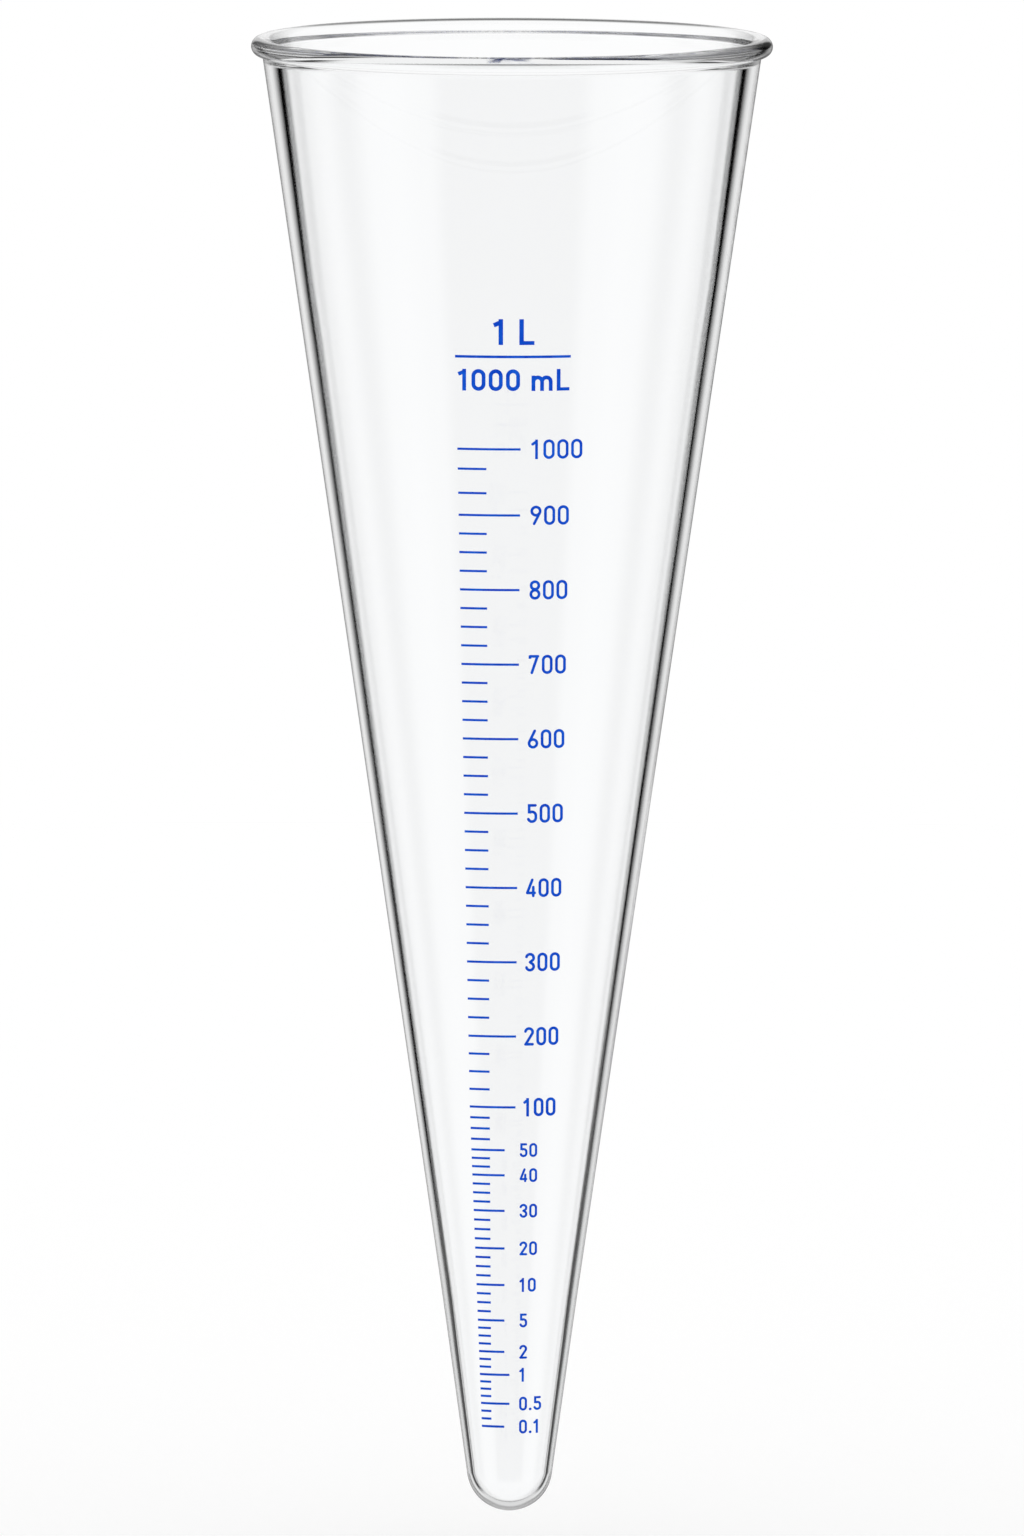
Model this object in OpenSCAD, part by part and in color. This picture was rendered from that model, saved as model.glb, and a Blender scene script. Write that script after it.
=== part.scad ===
// One litre settling cone of blown glass: a slim cone with a closed round tip and a beaded rim,
// and a scale of long lines, short lines and numerals fired on its front in blue enamel.
// Sizes are millimetres. Heights in this file are measured up from the tip. The finished part
// is then lowered, so that z = 0 is the level where a support ring meets the underside of the
// bead. The cone's axis is Z, and the scale faces -Y.

/* [Glass cone] */
// Overall height, from the tip to the top of the rim bead
overall_h = 416.1; // [390:0.5:460]
// Outer diameter of the rim bead
rim_d = 146.5; // [135:0.1:165]
// Thickness of the rim bead
bead_t = 5.1; // [4:0.1:6.5]
// How far the bead stands out from the wall that meets its underside
bead_overhang = 3.15; // [2.5:0.05:4]
// Radius of the hollow between the wall and the underside of the bead
seat_fillet_r = 0.5; // [0.3:0.1:1.5]
// Radius of the rounding from the top of the bead into the mouth
lip_r = 3.5; // [3:0.1:5]
// Height of the level where the slimmer drawn end begins
drawn_h = 57.4; // [45:0.5:75]
// Outer diameter at that level
drawn_d = 36.8; // [34:0.1:40]
// Outer diameter of the round tip
tip_d = 24; // [20:0.1:27]

/* [Glass wall] */
// Thickness at the bottom of the tip
wall_base = 2.1; // [1.2:0.1:4]
// Thickness at the side of the tip
wall_tip = 1.8; // [1.2:0.1:3]
// Thickness where the drawn end begins
wall_drawn = 2.4; // [1.6:0.1:3]
// Thickness at the shoulder, from where the wall gets thicker towards the rim
wall_shoulder = 3.7; // [2:0.1:4.2]
// Depth of the shoulder below the top of the rim
shoulder_depth = 75; // [50:1:110]
// Thickness at the neck, where the inside begins to flare towards the rounded rim
wall_neck = 5; // [4.4:0.1:6]
// Depth of the neck below the top of the rim
neck_depth = 6; // [5:0.5:15]

/* [Scale heights] */
// Height of the lowest line, 0.1
lowest_line_h = 25.2; // [20:0.1:30]
// Space between the 0.1 and 0.5 lines
space_to_0_5 = 6.6; // [5:0.1:8]
// Space between the 0.5 and 1 lines
space_to_1 = 8.3; // [6.5:0.1:10]
// Space between the 1 and 2 lines
space_to_2 = 6.6; // [5:0.1:8]
// Space between the 2 and 5 lines
space_to_5 = 9; // [7:0.1:11]
// Space between the 5 and 10 lines
space_to_10 = 10.2; // [8:0.1:12]
// Space between the 10 and 20 lines
space_to_20 = 10.5; // [8:0.1:12]
// Space between the 20 and 30 lines
space_to_30 = 10.8; // [8:0.1:12]
// Space between the 30 and 40 lines
space_to_40 = 10.2; // [8:0.1:12]
// Space between the 40 and 50 lines
space_to_50 = 7.2; // [6:0.1:9]
// Space between the 50 and 100 lines
space_to_100 = 12.3; // [10:0.1:14]
// Space between the 100 and 200 lines
space_to_200 = 20.3; // [17:0.1:22]
// Space between one hundred and the next, from 200 to 900
space_of_100 = 21.26; // [19:0.02:22]
// Space between the 900 and 1000 lines
space_to_1000 = 18.8; // [16:0.1:21]
// Space between the 1000 line and the first short line under it
first_short_space = 5.65; // [4:0.1:7]

/* [Scale widths] */
// Thickness of the fired enamel
enamel_t = 0.1; // [0.05:0.01:0.2]
// Clear space between the wall and the enamel, so that the two solids share no surface
enamel_gap = 0.01; // [0.005:0.005:0.05]
// Height of each long and short line
line_t = 0.65; // [0.4:0.05:0.9]
// Distance of the lines' left ends from the axis, at the 1000 line
left_at_1000 = 15.1; // [13:0.1:17]
// Distance of the lines' left ends from the axis, at the 100 line
left_at_100 = 11.35; // [10:0.1:12.5]
// Distance of the lines' left ends from the axis, at the lowest line
left_at_lowest = 7.8; // [7:0.1:8.5]
// Reach of the lines of the hundreds to the right of the axis, at the 1000 line
right_at_1000 = 2.6; // [1:0.1:4]
// Reach of the lines of the hundreds to the right of the axis, at the 100 line
right_at_100 = 1.5; // [0:0.1:3]
// Distance of the other long lines' right ends from the axis, left of it
long_line_end = 1.5; // [0:0.1:3]
// The same for the 0.5 and 1 lines, which are longer
longer_line_end = 0.05; // [0:0.05:1]
// Distance of the short lines' right ends from the axis, at the 1000 line
short_end_at_1000 = 7; // [6:0.1:8]
// Distance of the short lines' right ends from the axis, at the lowest line
short_end_at_lowest = 5.1; // [4.5:0.1:5.5]

/* [Numerals] */
// Height of the numeral at the 1000 line
tall_digit_h = 5.58; // [4.5:0.1:6.5]
// Height of the numeral at the 100 line
mid_digit_h = 5.28; // [4.5:0.1:6.5]
// Height of the numerals from 0.1 to 50
small_digit_h = 4; // [3.4:0.1:4.5]
// Width of a digit at the 1000 line
tall_digit_w = 3.18; // [2.8:0.02:3.6]
// Width of a digit at the 100 line
mid_digit_w = 2.76; // [2.4:0.02:3.2]
// Width of a digit from 0.1 to 50
small_digit_w = 2.24; // [1.9:0.02:2.6]
// Clear space between two digits, as a share of a digit's width
digit_gap = 0.22; // [0.1:0.01:0.4]
// Stroke of the large numerals
stroke = 0.8; // [0.5:0.02:1]
// Stroke of the small numerals
small_stroke = 0.66; // [0.4:0.02:0.8]
// Distance of the numeral from the axis, at the 1000 line
numeral_at_1000 = 5.55; // [4.5:0.1:8]
// Distance of the numeral from the axis, at the 100 line
numeral_at_100 = 3.65; // [3.2:0.05:6]
// Distance of the small numerals from the axis
small_numeral_at = 2.65; // [1.5:0.05:4]

/* [Capacity mark] */
// Height of the rule above the 1000 line
rule_rise = 26.3; // [20:0.1:34]
// Length of the rule
rule_l = 32.4; // [20:0.1:40]
// Height of the rule's stroke
rule_t = 0.75; // [0.4:0.05:1.1]
// Distance of the middle of the mark from the axis
mark_x = 0.4; // [-2:0.1:2]
// Height of the figures above the rule
litre_h = 7.35; // [5:0.1:9]
// Clear space between these figures and the rule
litre_gap = 3; // [1.5:0.1:5]
// Stroke of these figures
litre_stroke = 1.3; // [0.9:0.05:1.6]
// Height of the figures below the rule
millilitre_h = 6.18; // [4:0.1:8]
// Clear space between these figures and the rule
millilitre_gap = 3.15; // [1.5:0.1:5]
// Stroke of these figures
millilitre_stroke = 1.1; // [0.7:0.05:1.4]
// Width of a figure, as a share of its height
mark_digit_share = 0.64; // [0.5:0.01:0.75]

/* [Hidden] */
glass_colour = [0.86, 0.92, 0.95, 0.45];
enamel_colour = [0.02, 0.28, 0.82];
glass_facets = 240;
arc_step = 5;
stroke_facets = 48;

// The scale from its top line down: value, space to the next long line, short lines in it
MARKS = [
  ["1000", space_to_1000, 2], ["900", space_of_100, 3], ["800", space_of_100, 3],
  ["700", space_of_100, 3], ["600", space_of_100, 3], ["500", space_of_100, 3],
  ["400", space_of_100, 3], ["300", space_of_100, 3], ["200", space_to_200, 3],
  ["100", space_to_100, 3], ["50", space_to_50, 2], ["40", space_to_40, 3],
  ["30", space_to_30, 3], ["20", space_to_20, 3], ["10", space_to_10, 3],
  ["5", space_to_5, 3], ["2", space_to_2, 2], ["1", space_to_1, 3],
  ["0.5", space_to_0_5, 2], ["0.1", 0, 0]
];
lowest = len(MARKS) - 1;
at_100 = 9;
at_10 = 14;
at_1 = 17;

// Each group of short lines: node name, first long line above it, first one below it
SHORT_GROUPS = [
  ["short_lines_100_to_1000", 0, at_100], ["short_lines_10_to_100", at_100, at_10],
  ["short_lines_1_to_10", at_10, at_1], ["short_lines_0_1_to_1", at_1, lowest]
];

// Names such as line_0_5, because a node's name holds no point
function tag(value) = len(value) < 3 || value[1] != "." ? value : str(value[0], "_", value[2]);

// Outline of the glass

bead_r = bead_t / 2;
bead_at = [rim_d / 2 - bead_r, overall_h - bead_r];
lip_at = [bead_at.x, overall_h - lip_r];
seat = [rim_d / 2 - bead_overhang, overall_h - bead_t];
drawn = [drawn_d / 2, drawn_h];
tip_r = tip_d / 2;
tip_at = [0, tip_r];
tip_inner_r = tip_r - wall_tip;
tip_inner_at = [0, wall_base + tip_inner_r];
drawn_inner_at = drawn - [wall_drawn, 0];

function polar(r, a) = r * [cos(a), sin(a)];
function heading(v) = atan2(v.y, v.x);

// Where the straight line from p touches a circle: on its right for a point above it, and on
// its left for a point below it
function touch_angle(c, r, p) = heading(p - c) - acos(r / norm(p - c));
tip_angle = touch_angle(tip_at, tip_r, drawn);
tip_inner_angle = touch_angle(tip_inner_at, tip_inner_r, drawn_inner_at);

// Outer radius of the wall at a height between the tip and the seat
function wall_r(h) = h < drawn.y
  ? drawn.x - (drawn.y - h) * tan(-tip_angle)
  : drawn.x + (h - drawn.y) * (seat.x - drawn.x) / (seat.y - drawn.y);

// Inside of the wall where its thickness is given
function inside_at(h, thickness) = [wall_r(h) - thickness, h];
neck_at = inside_at(overall_h - neck_depth, wall_neck);
shoulder_at = inside_at(overall_h - shoulder_depth, wall_shoulder);
lip_angle = touch_angle(lip_at, lip_r, neck_at) + 360;

// The hollow under the bead: a circle that touches the wall and the bead from outside
wall_up = (seat - drawn) / norm(seat - drawn);
wall_out = [wall_up.y, -wall_up.x];
hollow_start = seat + seat_fillet_r * wall_out - bead_at;
hollow_along = hollow_start * wall_up;
hollow_reach = bead_r + seat_fillet_r;
hollow_back = sqrt(hollow_along ^ 2 - hollow_start * hollow_start + hollow_reach ^ 2);
hollow_at = bead_at + hollow_start - (hollow_along + hollow_back) * wall_up;
hollow_to_bead = heading(bead_at - hollow_at);
hollow_to_wall = heading(-wall_out);
bead_from = hollow_to_bead - 180;

// Points along an arc, a few degrees apart. The first is left out where the outline has it.
function arc_points(c, r, from, to, skip = 0) =
  let (count = ceil(abs(to - from) / arc_step))
  [for (i = [skip:count]) c + polar(r, from + (to - from) * i / count)];

// Up the outside from the tip, over the bead and down the inside
outline = concat(
  arc_points(tip_at, tip_r, -90, tip_angle),
  [drawn],
  arc_points(hollow_at, seat_fillet_r, hollow_to_wall, hollow_to_bead),
  arc_points(bead_at, bead_r, bead_from, 90, 1),
  arc_points(lip_at, lip_r, 90, lip_angle, 1),
  [neck_at, shoulder_at, drawn_inner_at],
  arc_points(tip_inner_at, tip_inner_r, tip_inner_angle, -90)
);

// Volume of a slice of a cone, in millilitres
function slice_ml(r0, r1, h) = PI * h * (r0 * r0 + r0 * r1 + r1 * r1) / 3000;

function bore_r(h) = drawn_inner_at.x + (h - drawn_inner_at.y)
  * (shoulder_at.x - drawn_inner_at.x) / (shoulder_at.y - drawn_inner_at.y);
bore_foot = tip_inner_at + polar(tip_inner_r, tip_inner_angle);
bore_cap = bore_foot.y - wall_base;
cap_ml = PI * bore_cap * bore_cap * (tip_inner_r - bore_cap / 3) / 1000;
echo(str("Volume up to the 1000 line, mL: ", cap_ml
  + slice_ml(bore_foot.x, bore_r(drawn.y), drawn.y - bore_foot.y)
  + slice_ml(bore_r(drawn.y), bore_r(mark_h(0)), mark_h(0) - drawn.y)));

// Places of the scale

function mark_h(i) = i == lowest ? lowest_line_h : mark_h(i + 1) + MARKS[i][1];
function between(h, low_h, low, high_h, high) = low + (high - low) * (h - low_h) / (high_h - low_h);
function top_h() = mark_h(0);
function hundred_h() = mark_h(at_100);
function left_x(h) = h > hundred_h()
  ? -between(h, hundred_h(), left_at_100, top_h(), left_at_1000)
  : -between(h, lowest_line_h, left_at_lowest, hundred_h(), left_at_100);
function short_x(h) = -between(h, lowest_line_h, short_end_at_lowest, top_h(), short_end_at_1000);
function is_large(i) = i <= at_100;
function on_hundreds(i, low, high) = between(mark_h(i), hundred_h(), low, top_h(), high);
function right_x(i) = is_large(i) ? on_hundreds(i, right_at_100, right_at_1000)
  : MARKS[i][0] == "1" || MARKS[i][0] == "0.5" ? -longer_line_end : -long_line_end;

// A band of enamel on the front of the wall, between two heights
front_angle = 100;
function band_levels(low, high) = low < drawn_h && high > drawn_h
  ? [low, drawn_h, high] : [low, high];
function band_outline(levels) = concat(
  [for (h = levels) [wall_r(h) + enamel_gap, h]],
  [for (i = [len(levels) - 1:-1:0]) [wall_r(levels[i]) + enamel_gap + enamel_t, levels[i]]]);

// Lowers the finished piece, so that the support ring's level is z = 0
module in_frame() translate([0, 0, -seat.y]) children();

// Enamel between two heights, in the shape of its flat children: x runs to the right as seen
// from the front, and y is the height above the tip
module enamel(low, high) color(enamel_colour) in_frame() intersection() {
  rotate_extrude(angle = front_angle, start = -90 - front_angle / 2, $fn = glass_facets)
    polygon(band_outline(band_levels(low, high)));
  rotate([90, 0, 0]) linear_extrude(seat.x) children();
}

module line(h, from, to, thick)
  enamel(h - thick / 2, h + thick / 2)
    translate([from, h - thick]) square([to - from, 2 * thick]);

// Strokes of the figures. Straight strokes and round ends are a hair narrower than curved
// strokes, and strokes overlap where they join, so that no edge only grazes another.

slim = 0.98;
lap = 0.1;

module bar(a, b, t, rounded = false) {
  along = b - a;
  translate(a) rotate(heading(along)) translate([0, -slim * t / 2]) square([norm(along), slim * t]);
  if (rounded) for (end = [a, b]) round_end(end, slim * t);
}

module round_end(at, t) translate(at) circle(slim * t / 2);

// A straight stroke from a to the place b where it runs into a curved stroke
module bar_into_curve(a, b, t, rounded = false) {
  bar(a, b + lap * t * (b - a) / norm(b - a), t);
  if (rounded) round_end(a, slim * t);
}

// A curved stroke about c, from one angle to a larger one, cut from its ring by a wedge whose
// straight sides stay outside the ring
module curve(c, r, from, to, t, round_at = []) {
  wedge_sides = 4;
  translate(c) intersection() {
    ring(r, t);
    polygon(concat([[0, 0]],
      [for (i = [0:wedge_sides]) polar(2 * r + t, from + (to - from) * i / wedge_sides)]));
  }
  for (angle = round_at) round_end(c + polar(r, angle), t);
}

module ring(r, t) difference() {
  circle(r + t / 2);
  circle(r - t / 2);
}

// Figures, each h high and w wide with its lower left corner at the origin, and strokes t thick

module zero(h, w, t) {
  r = (w - t) / 2;
  low = [w / 2, w / 2];
  high = [w / 2, h - w / 2];
  for (side = [-r, r])
    bar(low + [side, -lap * t], high + [side, lap * t], t);
  curve(high, r, 0, 180, t);
  curve(low, r, 180, 360, t);
}

// Width of a one, as a share of a digit's width: on the scale, and in the capacity mark
one_share = 0.6;
mark_one_share = 0.7;
module one(h, w, t, rounded) {
  stem_x = (rounded ? one_share : mark_one_share) * w - t / 2;
  flag_drop = 0.24 * h;
  bar([stem_x, 0], [stem_x, h], t);
  bar([t / 2, h - flag_drop], [stem_x, h - 0.7 * t], t, rounded);
}

module two(h, w, t) {
  r = (w - t) / 2;
  top = [w / 2, h - w / 2];
  foot = [0.6 * t, t / 2];
  leave = heading(foot - top) + acos(r / norm(foot - top));
  curve(top, r, leave, 170, t, [170]);
  bar_into_curve(foot, top + polar(r, leave), t);
  bar([t / 2, t / 2], [w - t / 2, t / 2], t, true);
}

module three(h, w, t) {
  r = (w - t) / 2;
  waist = [0.5 * w, h / 2];
  turn = 42;
  for (side = [-1, 1]) {
    bowl = [w / 2, h / 2 + side * (h - w) / 2];
    if (side > 0) curve(bowl, r, -turn, 165, t, [165]);
    else curve(bowl, r, 195, 360 + turn, t, [195]);
    bar_into_curve(waist, bowl + polar(r, -side * turn), t, true);
  }
}

module four(h, w, t) {
  bar_y = 0.23 * h;
  upright_x = 0.72 * w;
  bar([0.62 * w, h - t / 2], [t / 2, bar_y], t, true);
  bar([t / 2, bar_y], [w - t / 2, bar_y], t, true);
  bar([upright_x, t / 2], [upright_x, 0.54 * h], t, true);
}

module five(h, w, t) {
  r = (w - t) / 2;
  stem_x = 0.09 * w + t / 2;
  shoulder = [w / 2, 0.66 * h - w / 2];
  bowl = [w / 2, w / 2];
  bar([stem_x, h - t / 2], [0.96 * w - t / 2, h - t / 2], t, true);
  bar([stem_x, h], [stem_x, 0.5 * h], t);
  curve(shoulder, r, 0, 135, t);
  bar(bowl + [r, -lap * t], shoulder + [r, lap * t], t);
  curve(bowl, r, 200, 360, t, [200]);
}

module nine(h, w, t) {
  r = (w - t) / 2;
  bowl = [w / 2, h - w / 2];
  foot = [0.34 * w, t / 2];
  leave = heading(foot - bowl) + acos(r / norm(foot - bowl));
  translate(bowl) ring(r, t);
  bar_into_curve(foot, bowl + polar(r, leave), t, true);
}

module six(h, w, t) translate([w, h]) rotate(180) nine(h, w, t);

module seven(h, w, t) {
  bar([t / 2, h - t / 2], [w - t / 2, h - t / 2], t, true);
  bar([t / 2, 0.8 * h], [t / 2, h - t / 2], t);
  bar([0.3 * w, t / 2], [w - 0.7 * t, h - t / 2], t, true);
}

module eight(h, w, t) {
  shared = 0.65 * t;
  upper_d = h - w + shared;
  translate([w / 2, w / 2]) ring((w - t) / 2, t);
  translate([w / 2, h - upper_d / 2]) ring((upper_d - t) / 2, t);
}

module point(t) translate([0.6 * t, 0.6 * t]) circle(0.6 * t);

l_share = 0.58;
module letter_l(h, t) {
  foot_t = 0.88 * t;
  bar([t / 2, 0], [t / 2, h], t);
  bar([t / 2, foot_t / 2], [l_share * h, foot_t / 2], foot_t);
}

module letter_m(h, w, t) {
  low_h = 0.71 * h;
  arch_w = (1.5 * w + t) / 2;
  r = (arch_w - t) / 2;
  bar([t / 2, 0], [t / 2, low_h], t);
  for (x = [0, arch_w - t]) {
    curve([x + arch_w / 2, low_h - r - t / 2], r, 0, 180, t);
    bar([x + arch_w - t / 2, 0], [x + arch_w - t / 2, low_h - r - t / 2 + lap * t], t);
  }
}

module figure(c, h, w, t, rounded) {
  if (c == "0") zero(h, w, t);
  if (c == "1") one(h, w, t, rounded);
  if (c == "2") two(h, w, t);
  if (c == "3") three(h, w, t);
  if (c == "4") four(h, w, t);
  if (c == "5") five(h, w, t);
  if (c == "6") six(h, w, t);
  if (c == "7") seven(h, w, t);
  if (c == "8") eight(h, w, t);
  if (c == "9") nine(h, w, t);
  if (c == ".") point(t);
  if (c == "m") letter_m(h, w, t);
  if (c == "L") letter_l(h, t);
}

// Step from one figure to the next, as a share of a digit's step
function step_share(c) = c == "1" ? 0.88 : c == "." ? 0.46 : c == " " ? 0.48 : c == "m" ? 1.46 : 1;
function pen_x(row, i, step) = i == 0 ? 0 : pen_x(row, i - 1, step) + step * step_share(row[i - 1]);

module row_of_figures(row, at, h, w, t, rounded) {
  step = w * (1 + digit_gap);
  for (i = [0:len(row) - 1])
    if (row[i] != " ") enamel(at.y - t, at.y + h + t)
      translate([at.x + pen_x(row, i, step), at.y])
        figure(row[i], h, w, t, rounded, $fn = stroke_facets);
}

// Pieces

module glass_cone() color(glass_colour) in_frame()
  rotate_extrude($fn = glass_facets) polygon(outline);

module long_line(i) line(mark_h(i), left_x(mark_h(i)), right_x(i), line_t);

module numeral(i) {
  h = is_large(i) ? on_hundreds(i, mid_digit_h, tall_digit_h) : small_digit_h;
  w = is_large(i) ? on_hundreds(i, mid_digit_w, tall_digit_w) : small_digit_w;
  x = is_large(i) ? on_hundreds(i, numeral_at_100, numeral_at_1000) : small_numeral_at;
  low = mark_h(i) - h / 2;
  row_of_figures(MARKS[i][0], [x, low], h, w, is_large(i) ? stroke : small_stroke, true);
}

// The short lines under long line i share its space evenly, but for the first one under 1000
module short_lines(i) {
  count = MARKS[i][2];
  for (k = [1:1:count]) {
    h = mark_h(i) - (i == 0 && k == 1 ? first_short_space : MARKS[i][1] * k / (count + 1));
    line(h, left_x(h), short_x(h), line_t);
  }
}

rule_h = top_h() + rule_rise;

module capacity_rule() line(rule_h, mark_x - rule_l / 2, mark_x + rule_l / 2, rule_t);

// A row of the capacity mark that ends in L, centred on the mark, with its foot at the height low
module capacity_row(row, low, h, t) {
  w = mark_digit_share * h;
  last = len(row) - 1;
  length = pen_x(row, last, w * (1 + digit_gap)) + l_share * h;
  row_of_figures(row, [mark_x - length / 2, low], h, w, t, false);
}

module capacity_litre() capacity_row(
  "1 L", rule_h + rule_t / 2 + litre_gap, litre_h, litre_stroke);
module capacity_millilitre() capacity_row(
  "1000 mL", rule_h - rule_t / 2 - millilitre_gap - millilitre_h, millilitre_h, millilitre_stroke);

glass_cone();
capacity_litre();
capacity_rule();
capacity_millilitre();
for (i = [0:lowest]) {
  long_line(i);
  numeral(i);
}
for (g = SHORT_GROUPS)
  for (i = [g[1]:g[2] - 1]) short_lines(i);
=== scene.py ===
"""One litre settling cone of clear blown glass, with a volume scale in blue enamel on its front.

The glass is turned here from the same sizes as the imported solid, with a finer outline. The
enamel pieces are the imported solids. Units are metres.
"""
import math

import bmesh
import bpy
from mathutils import Matrix, Vector


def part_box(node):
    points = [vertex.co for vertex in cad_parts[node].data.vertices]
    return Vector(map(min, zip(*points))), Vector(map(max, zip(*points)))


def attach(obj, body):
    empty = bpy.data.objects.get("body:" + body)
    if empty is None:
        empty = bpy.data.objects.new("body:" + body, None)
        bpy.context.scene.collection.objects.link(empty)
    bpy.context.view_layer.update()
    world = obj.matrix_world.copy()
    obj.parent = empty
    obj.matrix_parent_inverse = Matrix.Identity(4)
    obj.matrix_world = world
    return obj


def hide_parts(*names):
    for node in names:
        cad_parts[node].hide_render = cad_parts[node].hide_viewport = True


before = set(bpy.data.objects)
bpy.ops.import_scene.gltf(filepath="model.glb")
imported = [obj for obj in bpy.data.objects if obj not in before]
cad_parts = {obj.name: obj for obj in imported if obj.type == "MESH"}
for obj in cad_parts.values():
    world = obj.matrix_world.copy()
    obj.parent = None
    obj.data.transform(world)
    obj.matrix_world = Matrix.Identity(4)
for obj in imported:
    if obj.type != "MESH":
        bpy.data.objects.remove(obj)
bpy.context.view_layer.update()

MM = 0.001

# Sizes of the glass, with heights above the tip, the same as in the solid
GLASS_LOW, GLASS_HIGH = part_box("glass_cone")
OVERALL_H = GLASS_HIGH[2] - GLASS_LOW[2]
RIM_R = GLASS_HIGH[0]
BEAD_R = 5.1 * MM / 2
BEAD_OVERHANG = 3.15 * MM
SEAT_FILLET_R = 0.5 * MM
LIP_R = 3.5 * MM
DRAWN_H = 57.4 * MM
DRAWN_R = 36.8 * MM / 2
TIP_R = 24.0 * MM / 2
WALL_BASE = 2.1 * MM
WALL_TIP = 1.8 * MM
WALL_DRAWN = 2.4 * MM
WALL_SHOULDER = 3.7 * MM
SHOULDER_DEPTH = 75.0 * MM
WALL_NECK = 5.0 * MM
NECK_DEPTH = 6.0 * MM

# Finish of the turned mesh
SEGMENTS = 384
ARC_STEP = math.radians(4)
BEND_STEPS = 8
BEND_REACH = 9.0 * MM    # how far on each side a bend in the outline is spread
NECK_REACH = 0.7 * MM    # the same at the neck, close under the rim
PROUD = 0.02 * MM        # the wall meets the enamel's inner face, which lies just off the solid
PROUD_END = 3.0 * MM     # how far below the bead it stops standing proud
WALL_TOLERANCE = 0.3 * MM
ON_AXIS = 1e-6

# Materials: noise scales are in waves or grains per metre
GLASS_COLOUR = (0.993, 0.997, 1.0, 1.0)
GLASS_IOR = 1.473
WAVE_SCALE, WAVE_DEPTH = (45.0, 45.0, 7.0), 0.03 * MM
INK_THIN, INK_FULL = (0.001, 0.055, 0.58, 1.0), (0.006, 0.115, 0.72, 1.0)
INK_THIN_AT, INK_FULL_AT = 0.3, 0.72
INK_PATCH_SCALE, INK_PATCH_DETAIL = (420.0, 420.0, 420.0), 3.0
INK_GRAIN_SCALE, INK_GRAIN_DETAIL = (2600.0, 2600.0, 2600.0), 2.0
INK_GRAIN_STRENGTH, INK_GRAIN_DEPTH = 0.35, 0.02 * MM
INK_ROUGHNESS = 0.45
INK_SPECULAR = 0.05

# The photograph's view
VIEW_DISTANCE = 12.0
VIEW_ELEVATION = math.radians(5.54)
VIEW_ROLL = math.radians(0.1)
FRAME_HEIGHT = 431.9 * MM
LOOK_AT = Vector((0.35 * MM, 0.0, GLASS_LOW[2] + 210.0 * MM))
SENSOR_WIDTH = 36.0      # lies along the frame's taller side
SIGHT = 100.0            # how far the camera sees

FLOOR_Z = GLASS_LOW[2] - 12.0 * MM  # the cone hangs free above it
FLOOR_RADIUS = 3.0
FLOOR_SIDES = 96
FLOOR_COLOUR = (0.8, 0.8, 0.8, 1.0)
FLOOR_GLOW = 0.2         # takes the floor up to the white of the background, for the camera alone
FLOOR_FADE = (0.25, 0.95)  # shares of the radius where the floor begins to fade and is gone
WHITE = (1.0, 1.0, 1.0, 1.0)

MOST_BOUNCES = 100       # light runs along inside the wall under the rim


def polar(centre, radius, angle):
    return (centre[0] + radius * math.cos(angle), centre[1] + radius * math.sin(angle))


def arc(centre, radius, start, end):
    count = max(1, math.ceil(abs(end - start) / ARC_STEP))
    return [polar(centre, radius, start + (end - start) * i / count) for i in range(count + 1)]


def touch_angle(centre, radius, point):
    """Angle at which a line from a point touches a circle.

    It touches on the circle's right for a point above it, and on its left for one below it.
    """
    dx, dy = point[0] - centre[0], point[1] - centre[1]
    return math.atan2(dy, dx) - math.acos(radius / math.hypot(dx, dy))


def bend(before, corner, after, reach):
    """Points of a smooth curve that takes the place of a corner, spread over reach on each side."""
    def towards(other):
        length = math.dist(corner, other)
        return [corner[i] + (other[i] - corner[i]) * reach / length for i in (0, 1)]
    start, end = towards(before), towards(after)
    points = []
    for i in range(BEND_STEPS + 1):
        t = i / BEND_STEPS
        points.append(tuple((1 - t) ** 2 * start[k] + 2 * t * (1 - t) * corner[k] + t * t * end[k]
                            for k in (0, 1)))
    return points


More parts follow.
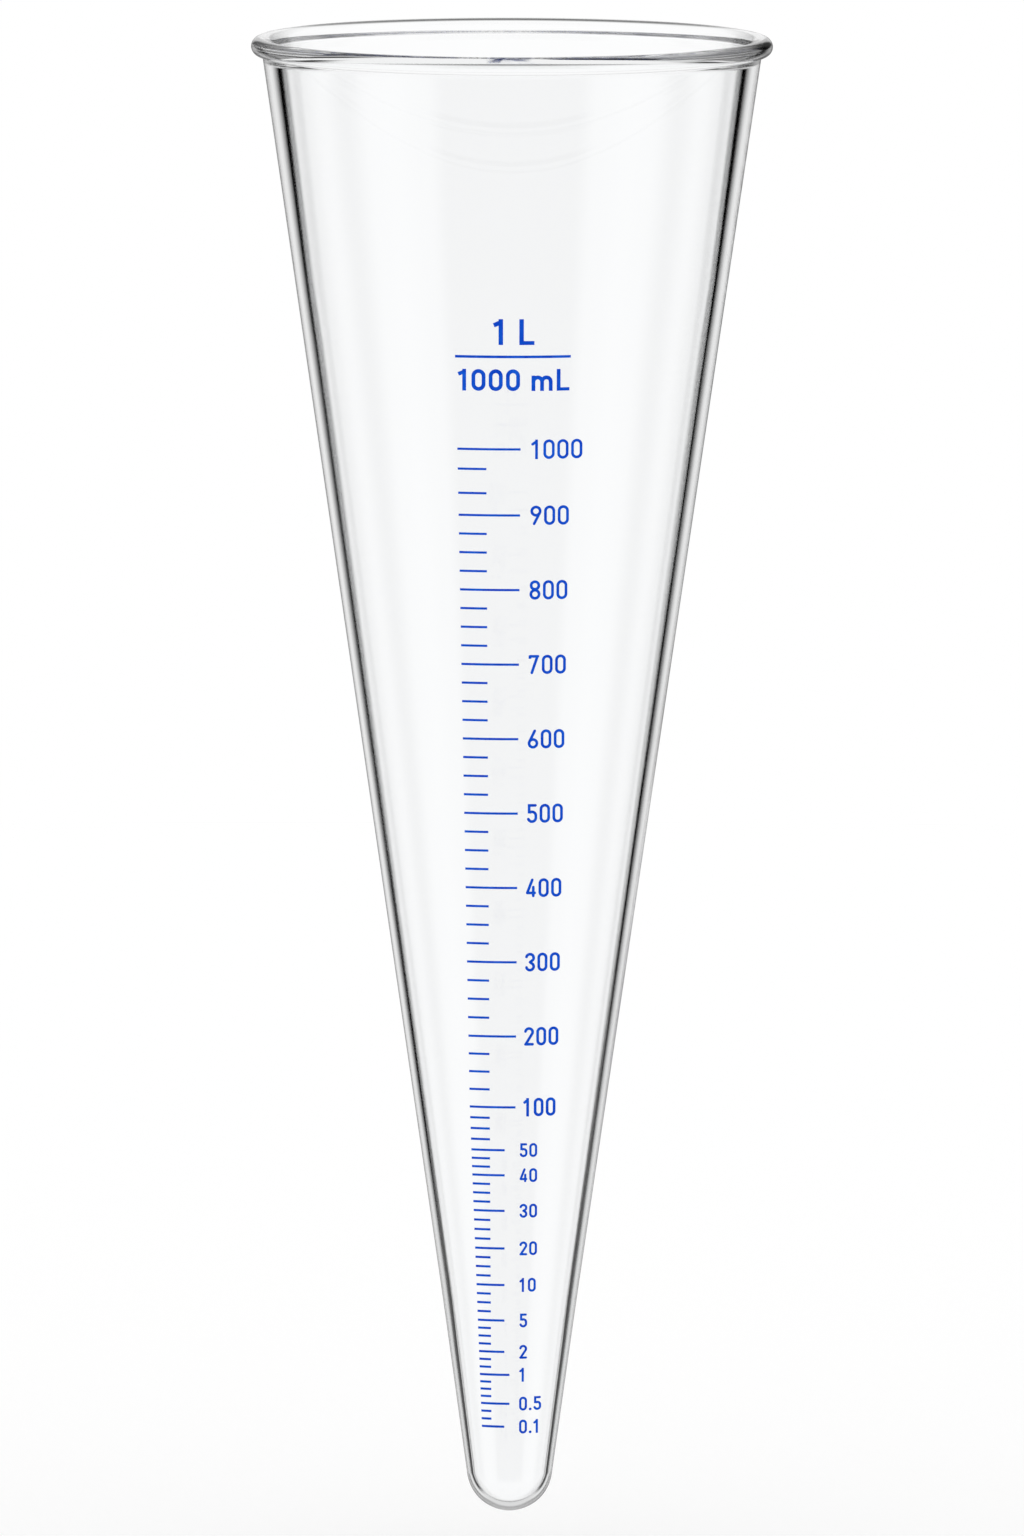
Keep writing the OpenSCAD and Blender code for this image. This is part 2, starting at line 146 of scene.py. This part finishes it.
def glass_outline():
    """Radius and height above the tip, up the outside, over the bead and down the inside."""
    bead = (RIM_R - BEAD_R, OVERALL_H - BEAD_R)
    lip = (bead[0], OVERALL_H - LIP_R)
    seat = (RIM_R - BEAD_OVERHANG, OVERALL_H - 2 * BEAD_R)
    drawn = (DRAWN_R, DRAWN_H)
    shoulder_h = OVERALL_H - SHOULDER_DEPTH
    neck_h = OVERALL_H - NECK_DEPTH
    slope = (seat[0] - drawn[0]) / (seat[1] - drawn[1])

    def wall_r(height):
        return drawn[0] + (height - drawn[1]) * slope

    # The hollow under the bead is a circle that touches the wall and the bead
    up_length = math.dist(drawn, seat)
    up = ((seat[0] - drawn[0]) / up_length, (seat[1] - drawn[1]) / up_length)
    out = (up[1], -up[0])
    start = (seat[0] + SEAT_FILLET_R * out[0] - bead[0], seat[1] + SEAT_FILLET_R * out[1] - bead[1])
    along = start[0] * up[0] + start[1] * up[1]
    reach = BEAD_R + SEAT_FILLET_R
    back = along + math.sqrt(along ** 2 - start[0] ** 2 - start[1] ** 2 + reach ** 2)
    hollow = (bead[0] + start[0] - back * up[0], bead[1] + start[1] - back * up[1])
    to_bead = math.atan2(bead[1] - hollow[1], bead[0] - hollow[0])
    to_wall = math.atan2(-out[1], -out[0])

    tip = (0.0, TIP_R)
    tip_side = touch_angle(tip, TIP_R, drawn)
    bore_tip_r = TIP_R - WALL_TIP
    bore_tip = (0.0, WALL_BASE + bore_tip_r)
    bore_drawn = (drawn[0] - WALL_DRAWN, drawn[1])
    bore_side = touch_angle(bore_tip, bore_tip_r, bore_drawn)
    bore_shoulder = (wall_r(shoulder_h) - WALL_SHOULDER, shoulder_h)
    bore_neck = (wall_r(neck_h) - WALL_NECK, neck_h)
    lip_side = touch_angle(lip, LIP_R, bore_neck) + 2 * math.pi

    outline = arc(tip, TIP_R, -math.pi / 2, tip_side)
    outline += bend(outline[-1], drawn, seat, BEND_REACH)
    outline += arc(hollow, SEAT_FILLET_R, to_wall, to_bead)
    outline += arc(bead, BEAD_R, to_bead - math.pi, math.pi / 2)[1:]
    outline += arc(lip, LIP_R, math.pi / 2, lip_side)[1:]
    outline += bend(outline[-1], bore_neck, bore_shoulder, NECK_REACH)
    outline += bend(bore_neck, bore_shoulder, bore_drawn, BEND_REACH)
    outline += bend(bore_shoulder, bore_drawn, polar(bore_tip, bore_tip_r, bore_side), BEND_REACH)
    outline += arc(bore_tip, bore_tip_r, bore_side, -math.pi / 2)

    # The outside of the wall stands a hair proud between the tip and the hollow
    proud = []
    for r, h in outline:
        on_wall = TIP_R < h < seat[1] - PROUD_END and abs(r - wall_r(h)) < WALL_TOLERANCE
        proud.append((r + PROUD if on_wall else r, h))
    return proud


def lathe(name, outline):
    """A closed mesh turned about Z from an outline that starts and ends on the axis."""
    mesh = bmesh.new()
    rings = []
    for r, h in outline:
        z = GLASS_LOW[2] + h
        if r < ON_AXIS:
            rings.append([mesh.verts.new((0.0, 0.0, z))])
            continue
        angles = (2 * math.pi * i / SEGMENTS for i in range(SEGMENTS))
        rings.append([mesh.verts.new((r * math.cos(a), r * math.sin(a), z)) for a in angles])
    for low, high in zip(rings, rings[1:]):
        for i in range(SEGMENTS):
            j = (i + 1) % SEGMENTS
            if len(low) == 1:
                mesh.faces.new((low[0], high[j], high[i]))
            elif len(high) == 1:
                mesh.faces.new((low[i], low[j], high[0]))
            else:
                mesh.faces.new((low[i], low[j], high[j], high[i]))
    for face in mesh.faces:
        face.smooth = True
    bmesh.ops.recalc_face_normals(mesh, faces=mesh.faces)
    data = bpy.data.meshes.new(name)
    mesh.to_mesh(data)
    mesh.free()
    piece = bpy.data.objects.new(name, data)
    bpy.context.collection.objects.link(piece)
    return piece


def new_material(name):
    material = bpy.data.materials.new(name)
    material.use_nodes = True
    nodes, links = material.node_tree.nodes, material.node_tree.links
    return material, nodes, links, nodes["Principled BSDF"]


def stretched_noise(nodes, links, scale, detail):
    """Noise in the object's own coordinates, with a scale of its own along each axis."""
    place = nodes.new("ShaderNodeTexCoord")
    mapping = nodes.new("ShaderNodeMapping")
    mapping.inputs["Scale"].default_value = scale
    noise = nodes.new("ShaderNodeTexNoise")
    noise.inputs["Scale"].default_value = 1.0
    noise.inputs["Detail"].default_value = detail
    links.new(place.outputs["Object"], mapping.inputs["Vector"])
    links.new(mapping.outputs["Vector"], noise.inputs["Vector"])
    return noise


def roughen(nodes, links, noise, shader, strength, depth):
    """Gives a shader's surface the heights of a noise."""
    bump = nodes.new("ShaderNodeBump")
    bump.inputs["Strength"].default_value = strength
    bump.inputs["Distance"].default_value = depth
    links.new(noise.outputs["Fac"], bump.inputs["Height"])
    links.new(bump.outputs["Normal"], shader.inputs["Normal"])


def glass_material():
    """Clear glass with the faint upright waves of blown and drawn glass."""
    material, nodes, links, shader = new_material("clear_glass")
    shader.inputs["Base Color"].default_value = GLASS_COLOUR
    shader.inputs["Transmission Weight"].default_value = 1.0
    shader.inputs["IOR"].default_value = GLASS_IOR
    shader.inputs["Roughness"].default_value = 0.0
    waves = stretched_noise(nodes, links, WAVE_SCALE, 1.0)
    roughen(nodes, links, waves, shader, 1.0, WAVE_DEPTH)
    return material


def enamel_material():
    """Screen printed enamel: a satin blue that is a little thinner in places."""
    material, nodes, links, shader = new_material("blue_enamel_fired")
    patches = stretched_noise(nodes, links, INK_PATCH_SCALE, INK_PATCH_DETAIL)
    colours = nodes.new("ShaderNodeValToRGB")
    thin, full = colours.color_ramp.elements
    thin.position, thin.color = INK_THIN_AT, INK_THIN
    full.position, full.color = INK_FULL_AT, INK_FULL
    links.new(patches.outputs["Fac"], colours.inputs["Fac"])
    links.new(colours.outputs["Color"], shader.inputs["Base Color"])
    shader.inputs["Roughness"].default_value = INK_ROUGHNESS
    shader.inputs["Specular IOR Level"].default_value = INK_SPECULAR
    grain = stretched_noise(nodes, links, INK_GRAIN_SCALE, INK_GRAIN_DETAIL)
    roughen(nodes, links, grain, shader, INK_GRAIN_STRENGTH, INK_GRAIN_DEPTH)
    return material


def math_node(nodes, links, operation, *values):
    node = nodes.new("ShaderNodeMath")
    node.operation = operation
    for socket, value in zip(node.inputs, values):
        if isinstance(value, (int, float)):
            socket.default_value = value
        else:
            links.new(value, socket)
    return node.outputs[0]


# Studio round the glass. Glass shows its edges where it bends light from a dark card, so white
# panels stand all round, with slim dark cards between them. Each list gives a brightness by
# degrees away from the far side of the front view: the first for light that comes straight
# through, mirrored at 45 degrees and so the same in each quarter, the next ones for light that
# was reflected once, and for light that was reflected more often.
MIRRORED_AT = 45.0
STRAIGHT = [(0, 1.0), (23, 1.0), (28, 0.0), (35, 0.0), (40, 1.0), (45, 1.0)]
REFLECTED = [(0, 0.3), (9, 0.25), (14, 0.65), (18, 0.85), (22, 0.8), (25, 0.65), (28, 0.4),
             (30, 0.2), (32, 0.0), (40, 0.0), (43, 0.9), (52, 0.65), (67, 0.9), (84, 0.25),
             (100, 0.85), (112, 0.9), (130, 0.7), (142, 0.0), (180, 0.0)]
REPEATED = [(0, 0.8), (15, 0.8), (20, 0.2), (24, 0.0), (36, 0.0), (48, 0.2), (180, 0.2)]
# The same for light that was reflected once and leaves upwards, and for light that ran along
# inside the bead or the wall, reflected many times
RAISED = [(0, 0.9), (6, 0.9), (12, 0.1), (32, 0.0), (38, 0.8), (180, 0.8)]
GUIDED = [(0, 0.3), (12, 0.3), (18, 0.0), (38, 0.0), (44, 0.9), (85, 0.9), (94, 0.0), (132, 0.0),
          (145, 0.4), (180, 0.4)]
# Numbers of reflections, between whole ones, that part these kinds of light
ONCE_AFTER, OFTEN_AFTER, GUIDED_AFTER = 0.5, 1.5, 6.5
GUIDED_DOWN = 0.9        # brightness for light that ran along inside and leaves downwards
CEILING = 0.9            # brightness overhead, whatever the side
GROUND = 0.1             # brightness below, for light that comes straight through
GROUND_REFLECTED = 0.7   # the same for light that was reflected
NADIR = 0.95             # brightness straight below
# The cards seen by light that was reflected once lean away from the far side below this height:
# degrees for each unit of height, and at the most
LEAN_FROM, LEAN, LEAN_MOST = -0.125, 75.0, 6.0
# Heights of a ray's direction, as sines: where each of these begins and where it is full
RAISED_FROM, RAISED_FULL = -0.03, 0.03
CEILING_FROM, CEILING_FULL = 0.25, 0.6
GROUND_FROM, GROUND_FULL = -0.46, -0.66
NADIR_FROM, NADIR_FULL = -0.75, -0.9
GUIDED_DOWN_FROM, GUIDED_DOWN_FULL = -0.4, -0.6


def brightness_ramp(nodes, links, points, degrees):
    node = nodes.new("ShaderNodeValToRGB")
    ramp = node.color_ramp
    ramp.interpolation = "EASE"
    span = points[-1][0]
    for angle, _ in points[1:-1]:
        ramp.elements.new(angle / span)
    for element, (angle, level) in zip(ramp.elements, points):
        element.position = angle / span
        element.color = (level, level, level, 1.0)
    links.new(math_node(nodes, links, "DIVIDE", degrees, span), node.inputs["Fac"])
    return node.outputs["Color"]


def smooth_step(nodes, links, value, start, end, low, high):
    node = nodes.new("ShaderNodeMapRange")
    node.interpolation_type = "SMOOTHSTEP"
    sockets = ("From Min", "From Max", "To Min", "To Max")
    for socket, number in zip(sockets, (start, end, low, high)):
        node.inputs[socket].default_value = number
    links.new(value, node.inputs["Value"])
    return node.outputs["Result"]


def mix_of(nodes, links, factor, first, second):
    node = nodes.new("ShaderNodeMix")
    node.data_type = "RGBA"
    links.new(factor, node.inputs["Factor"])
    for socket, value in zip((node.inputs["A"], node.inputs["B"]), (first, second)):
        if isinstance(value, float):
            socket.default_value = (value, value, value, 1.0)
        else:
            links.new(value, socket)
    return node.outputs["Result"]


def glass_or_gloss(nodes, links, path):
    return math_node(nodes, links, "MAXIMUM", path.outputs["Is Transmission Ray"],
                     path.outputs["Is Glossy Ray"])


def studio():
    """The world: white for the camera, and the cards for all that glass bends or reflects."""
    world = bpy.data.worlds.new("studio")
    bpy.context.scene.world = world
    world.use_nodes = True
    nodes, links = world.node_tree.nodes, world.node_tree.links
    background = nodes["Background"]
    direction = nodes.new("ShaderNodeTexCoord")
    axes = nodes.new("ShaderNodeSeparateXYZ")
    links.new(direction.outputs["Generated"], axes.inputs[0])
    height = axes.outputs["Z"]
    turn = math_node(nodes, links, "ARCTAN2", axes.outputs["X"], axes.outputs["Y"])
    side = math_node(nodes, links, "DEGREES", math_node(nodes, links, "ABSOLUTE", turn))

    folded = math_node(nodes, links, "PINGPONG", side, MIRRORED_AT)
    panels = brightness_ramp(nodes, links, STRAIGHT, folded)
    depth = math_node(nodes, links, "SUBTRACT", LEAN_FROM, height)
    lean = math_node(nodes, links, "MULTIPLY", math_node(nodes, links, "MAXIMUM", depth, 0.0), LEAN)
    lean = math_node(nodes, links, "MINIMUM", lean, LEAN_MOST)
    once = brightness_ramp(nodes, links, REFLECTED, math_node(nodes, links, "SUBTRACT", side, lean))
    upwards = brightness_ramp(nodes, links, RAISED, side)
    often = brightness_ramp(nodes, links, REPEATED, side)
    guided = brightness_ramp(nodes, links, GUIDED, side)
    path = nodes.new("ShaderNodeLightPath")
    was_reflected, again, ran_along = (
        math_node(nodes, links, "GREATER_THAN", path.outputs["Glossy Depth"], count)
        for count in (ONCE_AFTER, OFTEN_AFTER, GUIDED_AFTER))
    raised = smooth_step(nodes, links, height, RAISED_FROM, RAISED_FULL, 0.0, 1.0)
    once = mix_of(nodes, links, raised, once, upwards)
    reflected = mix_of(nodes, links, again, once, often)
    round_about = mix_of(nodes, links, was_reflected, panels, reflected)
    overhead = smooth_step(nodes, links, height, CEILING_FROM, CEILING_FULL, 0.0, 1.0)
    below = smooth_step(nodes, links, height, GROUND_FULL, GROUND_FROM, 1.0, 0.0)
    nadir = smooth_step(nodes, links, height, NADIR_FULL, NADIR_FROM, 1.0, 0.0)
    ground = mix_of(nodes, links, nadir, GROUND, NADIR)
    ground = mix_of(nodes, links, was_reflected, ground, GROUND_REFLECTED)
    room = mix_of(nodes, links, overhead, round_about, CEILING)
    room = mix_of(nodes, links, below, room, ground)
    downwards = smooth_step(nodes, links, height, GUIDED_DOWN_FULL, GUIDED_DOWN_FROM, 1.0, 0.0)
    guided = mix_of(nodes, links, downwards, guided, GUIDED_DOWN)
    room = mix_of(nodes, links, ran_along, room, guided)

    in_glass = glass_or_gloss(nodes, links, path)
    links.new(mix_of(nodes, links, in_glass, 1.0, room), background.inputs["Color"])
    background.inputs["Strength"].default_value = 1.0
    world.cycles.sampling_method = "NONE"


def floor():
    """A pale floor that fades out, and that glass sees through to the studio round it."""
    bpy.ops.mesh.primitive_circle_add(vertices=FLOOR_SIDES, radius=FLOOR_RADIUS, fill_type="NGON",
                                      location=(0, 0, FLOOR_Z))
    ground = bpy.context.object
    ground.name = "floor"
    material, nodes, links, shader = new_material("pale_floor")
    nodes.remove(shader)
    white = nodes.new("ShaderNodeBsdfDiffuse")
    white.inputs["Color"].default_value = FLOOR_COLOUR
    glow = nodes.new("ShaderNodeEmission")
    glow.inputs["Color"].default_value = WHITE
    path = nodes.new("ShaderNodeLightPath")
    seen = math_node(nodes, links, "MULTIPLY", path.outputs["Is Camera Ray"], FLOOR_GLOW)
    links.new(seen, glow.inputs["Strength"])
    lit = nodes.new("ShaderNodeAddShader")
    links.new(white.outputs[0], lit.inputs[0])
    links.new(glow.outputs[0], lit.inputs[1])
    clear = nodes.new("ShaderNodeBsdfTransparent")
    place = nodes.new("ShaderNodeTexCoord")
    length = nodes.new("ShaderNodeVectorMath")
    length.operation = "LENGTH"
    links.new(place.outputs["Object"], length.inputs[0])
    fade_from, fade_to = (share * FLOOR_RADIUS for share in FLOOR_FADE)
    fade = smooth_step(nodes, links, length.outputs["Value"], fade_from, fade_to, 0.0, 1.0)
    in_glass = glass_or_gloss(nodes, links, path)
    hidden = math_node(nodes, links, "MAXIMUM", fade, in_glass)
    mix = nodes.new("ShaderNodeMixShader")
    links.new(hidden, mix.inputs["Fac"])
    links.new(lit.outputs[0], mix.inputs[1])
    links.new(clear.outputs[0], mix.inputs[2])
    links.new(mix.outputs[0], nodes["Material Output"].inputs["Surface"])
    ground.data.materials.append(material)


def camera():
    data = bpy.data.cameras.new("camera")
    data.sensor_width = SENSOR_WIDTH
    data.lens = data.sensor_width * VIEW_DISTANCE / FRAME_HEIGHT
    data.clip_end = SIGHT
    view = bpy.data.objects.new("camera", data)
    bpy.context.collection.objects.link(view)
    tilt = Matrix.Rotation(math.pi / 2 - VIEW_ELEVATION, 3, "X")
    turn = tilt @ Matrix.Rotation(VIEW_ROLL, 3, "Z")
    view.location = LOOK_AT + turn @ Vector((0.0, 0.0, VIEW_DISTANCE))
    view.rotation_euler = turn.to_euler()
    bpy.context.scene.camera = view


def main():
    glass = lathe("glass_body", glass_outline())
    glass.data.materials.append(glass_material())
    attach(glass, "root")
    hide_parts("glass_cone")

    enamel = enamel_material()
    for name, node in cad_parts.items():
        if name != "glass_cone":
            node.material_slots[0].material = enamel

    studio()
    floor()
    camera()
    scene = bpy.context.scene
    scene.view_settings.view_transform = "Standard"
    scene.cycles.max_bounces = MOST_BOUNCES
    scene.cycles.transmission_bounces = MOST_BOUNCES
    scene.cycles.glossy_bounces = MOST_BOUNCES


main()
